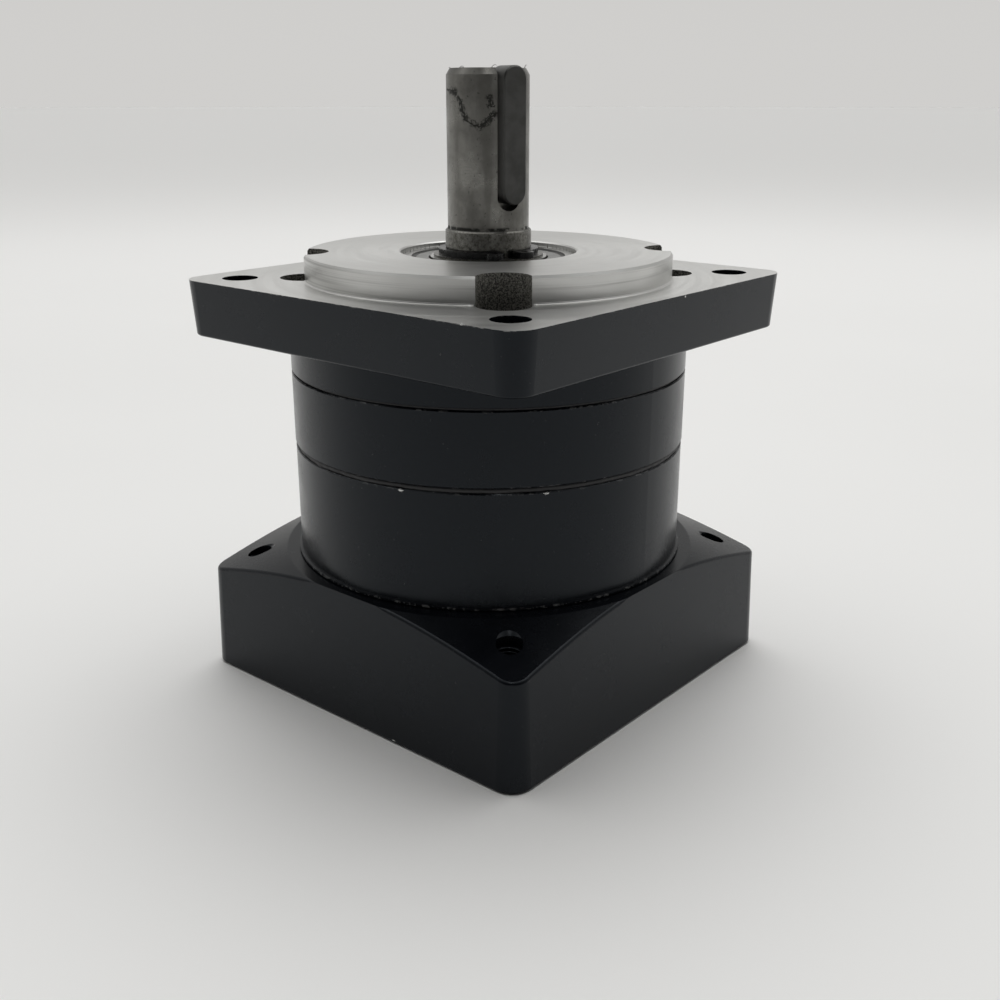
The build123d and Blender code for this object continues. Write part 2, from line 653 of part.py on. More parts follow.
# Front plate of the carrier, pressed and welded on the shaft's inner end, with three posts behind it.
with BuildPart() as carrier_front_plate:
    profile = section([
        (CARRIER_BORE_R, FRONT_PLATE_BOTTOM),
        (PLATE_R, FRONT_PLATE_BOTTOM),
        (PLATE_R, FRONT_PLATE_TOP),
        (COLLAR_R, FRONT_PLATE_TOP),
        (COLLAR_R, FRONT_PLATE_BOTTOM + CARRIER_BORE_DEPTH),
        (CARRIER_BORE_R, FRONT_PLATE_BOTTOM + CARRIER_BORE_DEPTH),
    ])
    revolve(profile, axis=Axis.Z)
    with BuildSketch(Plane.XY.offset(FRONT_PLATE_BOTTOM)):
        with post_places:
            Circle(POST_R)
    extrude(amount=BACK_PLATE_TOP - FRONT_PLATE_BOTTOM)
    with BuildSketch(Plane.XY.offset(BACK_PLATE_TOP)):
        with post_places:
            Circle(CARRIER_SCREW_R)
    extrude(amount=CARRIER_SCREW_REACH + 0.5, mode=Mode.SUBTRACT)
    with BuildSketch(Plane.XY.offset(FRONT_PLATE_BOTTOM)):
        with planet_places:
            Circle(PIN_R)
    extrude(amount=PIN_SEAT_DEPTH, mode=Mode.SUBTRACT)
save(carrier_front_plate, "carrier_front_plate")

with BuildPart() as shaft_key:
    with BuildSketch(key_plane.offset(KEYWAY_FLOOR_R)):
        with Locations((0, KEY_BOTTOM + KEY_LENGTH / 2)):
            SlotOverall(KEY_LENGTH, KEY_WIDTH, rotation=90)
    extrude(amount=KEY_HEIGHT)
    chamfer(shaft_key.faces().sort_by(Axis((0, 0, 0), key_plane.z_dir))[-1].edges(), 0.25)
save(shaft_key, "shaft_key")

shaft_circlip = circlip(
    CIRCLIP_GROOVE_R, CIRCLIP_R, CIRCLIP_BOTTOM, CIRCLIP_THICKNESS, radians(CIRCLIP_LUG_ANGLE), outward=True
)
save(shaft_circlip, "shaft_circlip")

with BuildPart() as shim_washer:
    revolve(ring_section(COLLAR_R, SHIM_R, FRONT_BEARING_TOP, CIRCLIP_BOTTOM), axis=Axis.Z)
save(shim_washer, "shim_washer")

with BuildPart() as bearing_spacer:
    revolve(ring_section(COLLAR_R, SPACER_R, FRONT_PLATE_TOP, FRONT_BEARING[0]), axis=Axis.Z)
save(bearing_spacer, "bearing_spacer")

with BuildPart() as output_seal:
    seal = section([
        (SEAL_BORE_R, 71.3),
        (SEAL_BORE_R, 75.7),
        (13.6, 75.7),
        (11.3, 73.6),
        (11.3, 72.9),
        (12.6, 72.9),
        (13.2, 74.4),
        (13.9, 74.4),
        (13.9, 71.3),
    ])
    revolve(seal, axis=Axis.Z)
save(output_seal, "output_seal")

with BuildPart() as carrier_back_plate:
    plate = section([
        (CARRIER_BORE_R, CARRIER_BEARING[0]),
        (CARRIER_BEARING[1], CARRIER_BEARING[0]),
        (CARRIER_BEARING[1], BACK_PLATE_BOTTOM - ROOM_GAP),
        (SHOULDER_R, BACK_PLATE_BOTTOM - ROOM_GAP),
        (SHOULDER_R, BACK_PLATE_BOTTOM),
        (PLATE_R, BACK_PLATE_BOTTOM),
        (PLATE_R, BACK_PLATE_TOP),
        (CARRIER_BORE_R, BACK_PLATE_TOP),
    ])
    revolve(plate, axis=Axis.Z)
    with BuildSketch(Plane.XY.offset(BACK_PLATE_TOP)):
        with planet_places:
            Circle(PIN_R)
    extrude(amount=BACK_PLATE_BOTTOM - BACK_PLATE_TOP, mode=Mode.SUBTRACT)
    with BuildSketch(Plane.XY.offset(BACK_PLATE_TOP)):
        with post_places:
            Circle(CARRIER_SHANK_HOLE_R)
    extrude(amount=BACK_PLATE_BOTTOM - BACK_PLATE_TOP, mode=Mode.SUBTRACT)
    with BuildSketch(Plane.XY.offset(BACK_PLATE_BOTTOM)):
        with post_places:
            Circle(CARRIER_HEAD_HOLE_R)
    extrude(amount=CARRIER_SCREW_SEAT - BACK_PLATE_BOTTOM, mode=Mode.SUBTRACT)
save(carrier_back_plate, "carrier_back_plate")

carrier_screws = socket_screws(
    post_places,
    CARRIER_SCREW_SEAT,
    CARRIER_SCREW_HEAD_R,
    -CARRIER_SCREW_HEAD_HEIGHT,
    CARRIER_SCREW_R,
    BACK_PLATE_TOP + CARRIER_SCREW_REACH,
    CARRIER_SCREW_SOCKET_R,
)
save(carrier_screws, "carrier_screws")

with BuildPart() as thrust_washers:
    for low in (BACK_PLATE_TOP, FRONT_PLATE_BOTTOM - WASHER_THICKNESS):
        with BuildSketch(Plane.XY.offset(low)):
            with planet_places:
                Circle(WASHER_R)
            with planet_places:
                Circle(PIN_R, mode=Mode.SUBTRACT)
        extrude(amount=WASHER_THICKNESS)
save(thrust_washers, "thrust_washers")

# ======================= gears =======================

planet_tip_r = MODULE * (PLANET_TEETH / 2 + 1)
planet_root_r = MODULE * (PLANET_TEETH / 2 - 1.25)
planet_face = gear_face(PLANET_TEETH, planet_tip_r, planet_root_r, tooth_thickness(TOOTH_THINNING))
needle_circle_r = (PIN_R + PLANET_BORE_R) / 2

for number in range(1, PLANET_COUNT + 1):
    angle = 360 / PLANET_COUNT * (number - 1)
    centre = polar(CENTRE_DISTANCE, radians(angle))

    with BuildPart() as planet_gear:
        # One tooth points at the ring, and the space opposite takes a tooth of the sun.
        placed = Pos(centre[0], centre[1], PLANET_BOTTOM) * Rot(0, 0, angle) * planet_face
        extrude(placed, amount=PLANET_TOP - PLANET_BOTTOM)
        with BuildSketch(Plane.XY.offset(PLANET_BOTTOM)):
            with Locations(centre):
                Circle(PLANET_BORE_R)
        extrude(amount=PLANET_TOP - PLANET_BOTTOM, mode=Mode.SUBTRACT)
    save(planet_gear, f"planet_gear_{number}")

    with BuildPart() as planet_pin:
        with BuildSketch(Plane.XY.offset(BACK_PLATE_BOTTOM)):
            with Locations(centre):
                Circle(PIN_R)
        extrude(amount=FRONT_PLATE_BOTTOM + PIN_SEAT_DEPTH - PIN_END_GAP - BACK_PLATE_BOTTOM)
        chamfer(planet_pin.edges().filter_by(GeomType.CIRCLE), 0.3)
    save(planet_pin, f"planet_pin_{number}")

    with BuildPart() as needle_rollers:
        with BuildSketch(Plane.XY.offset(PLANET_BOTTOM + 0.3)):
            with Locations(centre):
                with PolarLocations(needle_circle_r, NEEDLE_COUNT):
                    Circle(NEEDLE_R)
        extrude(amount=PLANET_TOP - PLANET_BOTTOM - 0.6)
    save(needle_rollers, f"needle_rollers_{number}")

# ======================= input hub, sun and clamp =======================

sun_tip_r = MODULE * (SUN_TEETH / 2 + 1)
sun_root_r = MODULE * (SUN_TEETH / 2 - 1.25)

sun_face = gear_face(SUN_TEETH, sun_tip_r, sun_root_r, tooth_thickness(TOOTH_THINNING))

with BuildPart() as sun_pinion:
    extrude(Pos(0, 0, SUN_BOTTOM) * sun_face, amount=SUN_TOP - SUN_BOTTOM)
    stem = section([
        (0, HUB_BORE_TOP + 0.5),
        (SUN_STUB_R, HUB_BORE_TOP + 0.5),
        (SUN_STUB_R, HUB_TOP),
        (SUN_STEM_R, HUB_TOP),
        (SUN_STEM_R, SUN_BOTTOM - 1),
        (sun_root_r, SUN_BOTTOM),
        (0, SUN_BOTTOM),
    ])
    revolve(stem, axis=Axis.Z)
save(sun_pinion, "sun_pinion")

with BuildPart() as input_hub:
    hub = section([
        (HUB_BORE_R, HUB_BOTTOM),
        (CLAMP_R, HUB_BOTTOM),
        (CLAMP_R, CLAMP_TOP),
        (HUB_SHOULDER_R, CLAMP_TOP),
        (HUB_SHOULDER_R, INPUT_BEARING[0]),
        (INPUT_BEARING[1], INPUT_BEARING[0]),
        (INPUT_BEARING[1], INPUT_BEARING_TOP),
        (HUB_GROOVE_R, INPUT_BEARING_TOP),
        (HUB_GROOVE_R, INPUT_BEARING_TOP + HUB_CIRCLIP_THICKNESS),
        (INPUT_BEARING[1], INPUT_BEARING_TOP + HUB_CIRCLIP_THICKNESS),
        (INPUT_BEARING[1], HUB_TOP),
        (SUN_STUB_R, HUB_TOP),
        (SUN_STUB_R, HUB_BORE_TOP),
        (HUB_BORE_R, HUB_BORE_TOP),
    ])
    revolve(hub, axis=Axis.Z)
    # Slots that let the clamp end close on the motor shaft.
    for turn in (45, 135):
        with BuildSketch(Plane.XY.offset(HUB_BOTTOM)):
            Rectangle(4 * CLAMP_R, HUB_SLOT_WIDTH, rotation=turn)
        extrude(amount=CLAMP_TOP - 2 - HUB_BOTTOM, mode=Mode.SUBTRACT)
save(input_hub, "input_hub")

with BuildPart() as motor_bush:
    revolve(ring_section(MOTOR_SHAFT_R, HUB_BORE_R, HUB_BOTTOM, HUB_BOTTOM + BUSH_LENGTH), axis=Axis.Z)
    with BuildSketch(Plane.XY.offset(HUB_BOTTOM)):
        with Locations((0, HUB_BORE_R)):
            Rectangle(BUSH_SLIT, MOTOR_SHAFT_R)
    extrude(amount=BUSH_LENGTH, mode=Mode.SUBTRACT)
save(motor_bush, "motor_bush")

hub_circlip = circlip(
    HUB_GROOVE_R, HUB_SHOULDER_R, INPUT_BEARING_TOP, HUB_CIRCLIP_THICKNESS, 0.0, outward=True
)
save(hub_circlip, "hub_circlip")

bearing_retaining_ring = circlip(
    RETAINING_RING_R,
    RETAINING_GROOVE_R,
    RETAINING_RING_BOTTOM,
    RETAINING_RING_THICKNESS,
    radians(90),
    outward=False,
)
save(bearing_retaining_ring, "bearing_retaining_ring")

clamp_screw_place = Locations((CLAMP_SCREW_OFFSET, CLAMP_SCREW_HEIGHT))

with BuildPart() as clamp_ring:
    revolve(ring_section(CLAMP_R, CLAMP_RING_R, CLAMP_RING_BOTTOM, CLAMP_RING_TOP), axis=Axis.Z)
    chamfer(clamp_ring.edges().filter_by(GeomType.CIRCLE).group_by(SortBy.RADIUS)[-1], 0.6)
    with BuildSketch(Plane.XY.offset(CLAMP_RING_BOTTOM)):
        with Locations((0, CLAMP_RING_R)):
            Rectangle(CLAMP_SPLIT, 2 * CLAMP_RING_R - 4)
    extrude(amount=CLAMP_RING_TOP - CLAMP_RING_BOTTOM, mode=Mode.SUBTRACT)
    with BuildSketch(Plane.YZ):
        with clamp_screw_place:
            Circle(CLAMP_SCREW_R)
    extrude(amount=CLAMP_RING_R, both=True, mode=Mode.SUBTRACT)
    with BuildSketch(Plane.YZ.offset(CLAMP_SCREW_SEAT)):
        with clamp_screw_place:
            Circle(CLAMP_HEAD_HOLE_R)
    extrude(amount=-CLAMP_RING_R, mode=Mode.SUBTRACT)
save(clamp_ring, "clamp_ring")

with BuildPart() as clamp_screw:
    with BuildSketch(Plane.YZ.offset(CLAMP_SCREW_SEAT)):
        with clamp_screw_place:
            Circle(CLAMP_HEAD_R)
    extrude(amount=-CLAMP_HEAD_HEIGHT)
    with BuildSketch(Plane.YZ.offset(CLAMP_SCREW_SEAT)):
        with clamp_screw_place:
            Circle(CLAMP_SCREW_R)
    extrude(amount=CLAMP_SCREW_LENGTH)
    with BuildSketch(Plane.YZ.offset(CLAMP_SCREW_SEAT - CLAMP_HEAD_HEIGHT)):
        with clamp_screw_place:
            RegularPolygon(CLAMP_SOCKET_R, 6)
    extrude(amount=CLAMP_SOCKET_DEPTH, mode=Mode.SUBTRACT)
save(clamp_screw, "clamp_screw")

# ======================= bearings =======================

build_bearing("front_bearing", *FRONT_BEARING)
build_bearing("carrier_bearing", *CARRIER_BEARING)
build_bearing("input_bearing", *INPUT_BEARING)
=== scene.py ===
"""Looks of the planetary gearbox: materials, small detail pieces, camera, floor and lights.

Metres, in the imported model's frame: +Z runs along the shaft, and z = 0 is the motor face.
"""
import json
import math

import bmesh
import bpy
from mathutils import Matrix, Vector, noise


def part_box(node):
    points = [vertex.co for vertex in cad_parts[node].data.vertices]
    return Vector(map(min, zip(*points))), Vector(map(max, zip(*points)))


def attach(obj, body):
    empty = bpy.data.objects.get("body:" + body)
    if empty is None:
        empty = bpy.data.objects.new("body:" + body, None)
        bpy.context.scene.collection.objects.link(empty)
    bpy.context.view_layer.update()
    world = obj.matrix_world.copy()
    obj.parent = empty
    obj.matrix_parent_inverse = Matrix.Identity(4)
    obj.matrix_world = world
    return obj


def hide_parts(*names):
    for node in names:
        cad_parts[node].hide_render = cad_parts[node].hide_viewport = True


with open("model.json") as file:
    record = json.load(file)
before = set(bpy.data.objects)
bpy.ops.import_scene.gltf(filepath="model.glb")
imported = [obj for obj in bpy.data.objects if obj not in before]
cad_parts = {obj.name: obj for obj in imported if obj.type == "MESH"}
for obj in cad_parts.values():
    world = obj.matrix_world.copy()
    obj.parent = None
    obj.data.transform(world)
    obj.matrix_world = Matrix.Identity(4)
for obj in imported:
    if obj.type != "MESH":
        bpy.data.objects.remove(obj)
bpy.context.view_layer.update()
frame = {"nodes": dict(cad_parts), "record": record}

MM = 0.001

# ---- places taken from the frame ----
NODES = frame["nodes"]
PILOT_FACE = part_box("front_housing")[1].z
FLANGE_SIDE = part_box("front_housing")[1].x
SHAFT_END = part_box("output_shaft")[1].z
LOWER_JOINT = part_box("ring_gear")[0].z
UPPER_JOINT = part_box("ring_gear")[1].z
BODY_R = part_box("ring_gear")[1].x
ADAPTER_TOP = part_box("motor_adapter")[1].z
FOOT_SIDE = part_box("motor_adapter")[1].x

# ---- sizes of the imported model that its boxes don't tell ----
FLANGE_FACE = 82.7 * MM
PILOT_R = 36.5 * MM
SHAFT_R = 8.0 * MM
COLLAR_TOP = 92.0 * MM
HOLE_OFFSET = 34.8 * MM
NOTCH_OFFSET = PILOT_R / math.sqrt(2)
NOTCH_R = 4.9 * MM
NOTCH_SEAT = 74.7 * MM
TAPPED_R = 2.5 * MM
ADAPTER_LAND_R = 43.0 * MM
ADAPTER_SLOPE = 0.35
SHIELD_GROOVE_R = 14.35 * MM

# ---- thread in the tapped corner holes; the half widths are shares of the pitch ----
THREAD_BOTTOM = 1.0 * MM
THREAD_TOP_GAP = 1.5 * MM
THREAD_PITCH = 0.8 * MM
THREAD_DEPTH = 0.42 * MM
THREAD_ROOT_HALF = 0.42
THREAD_CREST_HALF = 0.06

# ---- sealant beads, chips and the pilot's root fillets ----
BEAD_FLOOR_R = BODY_R - 0.78 * MM
BEAD_ROUNDING = 0.10 * MM
CHIP_R = BODY_R - 0.14 * MM
CHIP_HEIGHT = LOWER_JOINT - 0.75 * MM
FILLET_R = 0.35 * MM

# ---- burrs on the shaft's end ----
BURR_RING_R = SHAFT_R - 0.75 * MM
BURR_DRIFT = 0.25 * MM
BURR_THICKNESS = 0.08 * MM

# ---- stains on the shaft: strokes between places given as angle in degrees and height ----
STAIN_STROKES = (
    ((-126.0, 117.9 * MM), (-96.0, 117.4 * MM)),
    ((-92.0, 117.0 * MM), (-82.0, 112.6 * MM)),
    ((-82.0, 112.6 * MM), (-62.0, 111.2 * MM)),
    ((-62.0, 111.2 * MM), (-39.0, 113.4 * MM)),
    ((-47.0, 116.4 * MM), (-45.0, 114.9 * MM)),
    ((150.0, 102.0 * MM), (118.0, 100.5 * MM)),
)

# ---- camera: distance from the axis, height, the angles it is turned by, and its lens in millimetres ----
CAMERA_AZIMUTH = math.radians(40.88)
CAMERA_DISTANCE = 0.2372
CAMERA_HEIGHT = 0.1170
CAMERA_PITCH = math.radians(19.10)
CAMERA_YAW = math.radians(-0.56)
CAMERA_LENS = 42.18
SENSOR_WIDTH = 36.0

# ---- floor: a little below the motor face, so that the two don't share a plane ----
FLOOR_R = 12.0
FLOOR_DROP = 0.1 * MM
UNDER_CAMERA_DISTANCE = 0.42


# ======================= node helpers =======================

class Tree:
    """A node tree with short calls for the nodes that the materials use."""

    def __init__(self, tree):
        self.tree = tree
        tree.nodes.clear()

    def add(self, kind, settings=None, **inputs):
        node = self.tree.nodes.new(kind)
        for name, value in (settings or {}).items():
            setattr(node, name, value)
        for name, value in inputs.items():
            self.set(node.inputs[name.replace("_", " ")], value)
        return node

    def set(self, socket, value):
        if isinstance(value, bpy.types.NodeSocket):
            self.tree.links.new(value, socket)
        else:
            socket.default_value = value

    def math(self, operation, *values):
        node = self.tree.nodes.new("ShaderNodeMath")
        node.operation = operation
        for socket, value in zip(node.inputs, values):
            self.set(socket, value)
        return node.outputs[0]

    def vector(self, operation, *values):
        node = self.tree.nodes.new("ShaderNodeVectorMath")
        node.operation = operation
        for socket, value in zip(node.inputs, values):
            self.set(socket, value)
        return node.outputs["Value" if operation in ("LENGTH", "DOT_PRODUCT") else "Vector"]

    def join(self, x, y, z):
        node = self.tree.nodes.new("ShaderNodeCombineXYZ")
        for socket, value in zip(node.inputs, (x, y, z)):
            self.set(socket, value)
        return node.outputs[0]

    def noise(self, vector, scale, detail=2.0, roughness=0.5):
        node = self.add(
            "ShaderNodeTexNoise", Vector=vector, Scale=scale, Detail=detail, Roughness=roughness
        )
        return node.outputs[0]

    def ramp(self, value, low, high, out_low=0.0, out_high=1.0):
        """Value from low to high becomes out_low to out_high, smoothly, and stops at both ends."""
        node = self.tree.nodes.new("ShaderNodeMapRange")
        node.interpolation_type = "SMOOTHSTEP"
        limits = {"From Min": low, "From Max": high, "To Min": out_low, "To Max": out_high}
        for name, number in limits.items():
            node.inputs[name].default_value = number
        self.set(node.inputs["Value"], value)
        return node.outputs["Result"]

    def mix_colour(self, factor, one, other):
        node = self.tree.nodes.new("ShaderNodeMix")
        node.data_type = "RGBA"
        self.set(node.inputs["Factor"], factor)
        colours = [socket for socket in node.inputs if socket.type == "RGBA"]
        self.set(colours[0], one if isinstance(one, bpy.types.NodeSocket) else (*one, 1.0))
        self.set(colours[1], other if isinstance(other, bpy.types.NodeSocket) else (*other, 1.0))
        return [socket for socket in node.outputs if socket.type == "RGBA"][0]

    def bump(self, height, distance, strength=1.0, normal=None):
        node = self.add("ShaderNodeBump", Height=height, Distance=distance, Strength=strength)
        if normal is not None:
            self.set(node.inputs["Normal"], normal)
        return node.outputs[0]


class Finish(Tree):
    """A material with one Principled shader, and the coordinates of the mesh as inputs."""

    def __init__(self, name, **uniform):
        self.material = bpy.data.materials.new(name)
        self.material.use_nodes = True
        super().__init__(self.material.node_tree)
        output = self.add("ShaderNodeOutputMaterial")
        self.shader = self.add("ShaderNodeBsdfPrincipled")
        self.tree.links.new(self.shader.outputs[0], output.inputs[0])
        for key, value in uniform.items():
            self.set(self.shader.inputs[key.replace("_", " ")], value)
        place = self.add("ShaderNodeTexCoord").outputs["Object"]
        self.place = place
        parts = self.add("ShaderNodeSeparateXYZ", Vector=place)
        self.x, self.y, self.z = parts.outputs
        self.radius = self.vector("LENGTH", self.join(self.x, self.y, 0.0))

    def finish(self, colour=None, roughness=None, metallic=None, normal=None):
        for name, value in (
            ("Base Color", colour), ("Roughness", roughness), ("Metallic", metallic), ("Normal", normal)
        ):
            if value is not None:
                self.set(self.shader.inputs[name], value)
        return self.material

    def away_from_stroke(self, spot, one, other):
        """Distance on the shaft's surface from the spot to a stroke between two places."""
        start, end = (
            Vector((SHAFT_R * math.radians(angle), height, 0.0)) for angle, height in (one, other)
        )
        along = end - start
        from_start = self.vector("SUBTRACT", spot, start)
        share = self.vector("DOT_PRODUCT", from_start, along / along.length_squared)
        share = self.math("MINIMUM", self.math("MAXIMUM", share, 0.0), 1.0)
        nearest = self.vector("MULTIPLY", self.join(share, share, share), along)
        return self.vector("LENGTH", self.vector("SUBTRACT", from_start, nearest))

    def turned(self, rings, arcs=2.0):
        """Noise in rings round the axis, broken up a little along each ring."""
        along = self.math("MULTIPLY", self.math("ADD", self.radius, self.z), rings)
        cosine = self.math("MULTIPLY", self.math("DIVIDE", self.x, self.radius), arcs)
        sine = self.math("MULTIPLY", self.math("DIVIDE", self.y, self.radius), arcs)
        return self.noise(self.join(along, cosine, sine), 1.0, 3.0, 0.6)


# ======================= materials =======================

BLACK = (0.0038, 0.0045, 0.0062)
CLOUDY_BLACK = (0.0050, 0.0058, 0.0078)
COAT_SHEEN = (0.84, 0.92, 1.0, 1.0)
COAT_IOR = 1.33
DUST = (0.16, 0.16, 0.155)
CHIPPED = (0.34, 0.34, 0.335)

BARE = (0.66, 0.66, 0.645)
BARE_DULL = (0.57, 0.57, 0.555)
SCRATCHED = (0.26, 0.26, 0.25)
DARK_BAND = (0.24, 0.24, 0.23)
CAST_HOLLOW = (0.030, 0.030, 0.026)
CAST_RIDGE = (0.38, 0.37, 0.33)

GROUND = (0.235, 0.232, 0.216)
GROUND_OILY = (0.135, 0.132, 0.122)
STREAK = (0.125, 0.122, 0.112)
MOTTLE = (0.060, 0.056, 0.046)
STAIN = (0.014, 0.014, 0.011)
STAIN_WANDER = 1.9 * MM

KEY = (0.095, 0.095, 0.092)
KEY_CLOUD = (0.074, 0.074, 0.071)
SHIELD = (0.27, 0.27, 0.265)
SHIELD_CLOUD = (0.21, 0.21, 0.205)
# Painted shade: near-black colour standing in for the shade in the shield's rolled rim groove.
SHIELD_GROOVE_SHADE = (0.008, 0.008, 0.008)

FINE_BUMP = 0.000012


def coat_layers(m):
    """Colour, roughness and normal of the satin black coat, for a finish that holds it."""
    cloud = m.noise(m.place, 90.0, 4.0, 0.6)
    grain = m.noise(m.place, 5200.0, 2.0, 0.6)
    dust = m.noise(m.place, 2300.0, 1.0, 0.4)
    colour = m.mix_colour(m.ramp(cloud, 0.35, 0.75), BLACK, CLOUDY_BLACK)
    specks = m.ramp(dust, 0.775, 0.80)
    colour = m.mix_colour(m.math("MULTIPLY", specks, 0.35), colour, DUST)
    roughness = m.math("ADD", m.ramp(cloud, 0.3, 0.7, 0.19, 0.26), m.math("MULTIPLY", grain, 0.05))
    normal = m.bump(grain, FINE_BUMP, 0.5)
    return colour, roughness, normal


def rim_wear(m, heights, half_width):
    """Mask of thin worn lines at the given heights, broken up by noise."""
    rough_line = m.noise(m.place, 700.0, 3.0, 0.7)
    wear = 0.0
    for height in heights:
        distance = m.math("ABSOLUTE", m.math("SUBTRACT", m.z, height))
        line = m.ramp(distance, half_width * 0.4, half_width, 1.0, 0.0)
        wear = m.math("MAXIMUM", wear, line)
    return m.math("MULTIPLY", wear, m.ramp(rough_line, 0.50, 0.66))


def black_casing():
    """Satin black coat, worn on the rims beside the joints, on the foot's lip and on the flange's edge."""
    m = Finish("satin_black_coat", IOR=COAT_IOR, Specular_Tint=COAT_SHEEN)
    colour, roughness, normal = coat_layers(m)
    rims = [LOWER_JOINT - 0.6 * MM, LOWER_JOINT + 0.6 * MM, UPPER_JOINT - 0.4 * MM]
    wear = m.math("MULTIPLY", rim_wear(m, rims, 0.22 * MM), 0.25)
    lip_line = m.math("MULTIPLY", rim_wear(m, [ADAPTER_TOP + 0.45 * MM], 0.3 * MM), 0.6)
    edge_line = m.math("MULTIPLY", rim_wear(m, [FLANGE_FACE], 0.2 * MM), 0.7)
    wear = m.math("MAXIMUM", wear, m.math("MAXIMUM", lip_line, edge_line))
    colour = m.mix_colour(wear, colour, CHIPPED)
    return m.finish(colour, roughness, m.math("MULTIPLY", wear, 0.8), normal)


def turned_aluminium():
    """Bare aluminium turned on a lathe: fine rings, smears, a few arcs, and bands on the pilot's wall."""
    m = Finish("turned_aluminium", Metallic=1.0, Anisotropic=0.30)
    around = m.add("ShaderNodeTangent", {"direction_type": "RADIAL", "axis": "Z"})
    m.set(m.shader.inputs["Tangent"], around.outputs[0])
    rings = m.turned(5200.0, 3.0)
    wide_rings = m.turned(900.0, 1.2)
    smear = m.noise(m.place, 38.0, 3.0, 0.5)
    scratch_arcs = m.turned(3200.0, 14.0)
    bare = m.mix_colour(m.ramp(smear, 0.35, 0.7), BARE, BARE_DULL)
    bare = m.mix_colour(m.ramp(scratch_arcs, 0.70, 0.80, 0.0, 0.22), bare, SCRATCHED)
    bands = m.noise(m.vector("MULTIPLY", m.place, (14.0, 14.0, 1500.0)), 1.0, 3.0, 0.6)
    above_face = m.ramp(m.z, FLANGE_FACE + 0.1 * MM, FLANGE_FACE + 0.3 * MM)
    below_top = m.ramp(m.z, PILOT_FACE - 0.2 * MM, PILOT_FACE - 0.05 * MM, 1.0, 0.0)
    on_wall = m.math("MULTIPLY", above_face, below_top)
    banded = m.math("MULTIPLY", on_wall, m.ramp(bands, 0.50, 0.72, 0.0, 0.55))
    bare = m.mix_colour(banded, bare, DARK_BAND)
    roughness = m.math(
        "ADD", m.ramp(wide_rings, 0.3, 0.7, 0.28, 0.35), m.ramp(smear, 0.4, 0.8, 0.0, 0.06)
    )
    normal = m.bump(rings, FINE_BUMP, 0.6, m.bump(wide_rings, 0.000005, 0.3))
    return m.finish(bare, roughness, None, normal)


def cast_wall():
    """Rough dark wall of the notches, left as cast."""
    m = Finish("rough_cast_wall", Metallic=0.3)
    cast = m.noise(m.place, 3600.0, 3.0, 0.75)
    colour = m.mix_colour(m.ramp(cast, 0.38, 0.66), CAST_HOLLOW, CAST_RIDGE)
    return m.finish(colour, m.ramp(cast, 0.3, 0.7, 0.7, 0.45), None, m.bump(cast, 0.00016, 1.0))


def shaft_stains(m, film, pits):
    """Mask of the stains: veins along the strokes, pits beside them, dirt above the collar, loose pits."""
    cluster = m.ramp(m.noise(m.place, 1700.0, 4.0, 0.8), 0.46, 0.52)
    cluster = m.math("MULTIPLY", cluster, m.ramp(m.noise(m.place, 300.0, 2.0, 0.5), 0.44, 0.56))
    shift, lift = (
        m.math("MULTIPLY", m.math("SUBTRACT", m.noise(m.place, scale, 3.0, 0.6), 0.5), STAIN_WANDER)
        for scale in (620.0, 540.0)
    )
    round_it = m.math("MULTIPLY", m.math("ARCTAN2", m.y, m.x), SHAFT_R)
    spot = m.join(m.math("ADD", round_it, shift), m.math("ADD", m.z, lift), 0.0)
    stains = 0.0
    for one, other in STAIN_STROKES:
        away = m.away_from_stroke(spot, one, other)
        vein = m.math("MULTIPLY", m.ramp(away, 0.08 * MM, 0.26 * MM, 1.0, 0.0), m.ramp(film, 0.34, 0.42))
        close = m.math("MULTIPLY", m.ramp(away, 0.45 * MM, 1.00 * MM, 1.0, 0.0), cluster)
        stains = m.math("MAXIMUM", stains, m.math("MAXIMUM", vein, close))
    from_dirt = m.math("ABSOLUTE", m.math("SUBTRACT", m.z, COLLAR_TOP + 0.35 * MM))
    dirt = m.ramp(from_dirt, 0.1 * MM, 0.5 * MM, 1.0, 0.0)
    dirt = m.math("MULTIPLY", dirt, m.ramp(m.noise(m.place, 330.0, 3.0, 0.6), 0.48, 0.56))
    scatter = m.math("MULTIPLY", m.ramp(pits, 0.61, 0.67), 0.75)
    return m.math("MAXIMUM", m.math("MAXIMUM", stains, dirt), scatter)


def ground_steel():
    """Ground steel under an oil film: fine rings, upright streaks, a mottled collar and dark stains."""
    m = Finish("ground_steel", Anisotropic=0.3)
    around = m.add("ShaderNodeTangent", {"direction_type": "RADIAL", "axis": "Z"})
    m.set(m.shader.inputs["Tangent"], around.outputs[0])
    rings = m.turned(7000.0, 2.0)
    streak = m.noise(m.vector("MULTIPLY", m.place, (1.0, 1.0, 0.10)), 420.0, 3.0, 0.55)
    film = m.noise(m.place, 130.0, 4.0, 0.6)
    pits = m.noise(m.place, 1500.0, 4.0, 0.8)
    base = m.mix_colour(m.ramp(film, 0.35, 0.70), GROUND, GROUND_OILY)
    base = m.mix_colour(m.ramp(streak, 0.42, 0.66, 0.0, 0.6), base, STREAK)
    on_collar = m.ramp(m.z, COLLAR_TOP - 0.2 * MM, COLLAR_TOP, 1.0, 0.0)
    mottle = m.math("MULTIPLY", on_collar, m.ramp(pits, 0.42, 0.62))
    base = m.mix_colour(m.math("MULTIPLY", mottle, 0.7), base, MOTTLE)
    stains = shaft_stains(m, film, pits)
    base = m.mix_colour(stains, base, STAIN)
    rough = m.math("ADD", m.ramp(film, 0.35, 0.7, 0.26, 0.36), m.math("MULTIPLY", stains, 0.35))
    normal = m.bump(rings, 0.000010, 0.5, m.bump(pits, 0.00003, 0.5))
    return m.finish(base, rough, m.math("SUBTRACT", 1.0, m.math("MULTIPLY", stains, 0.8)), normal)


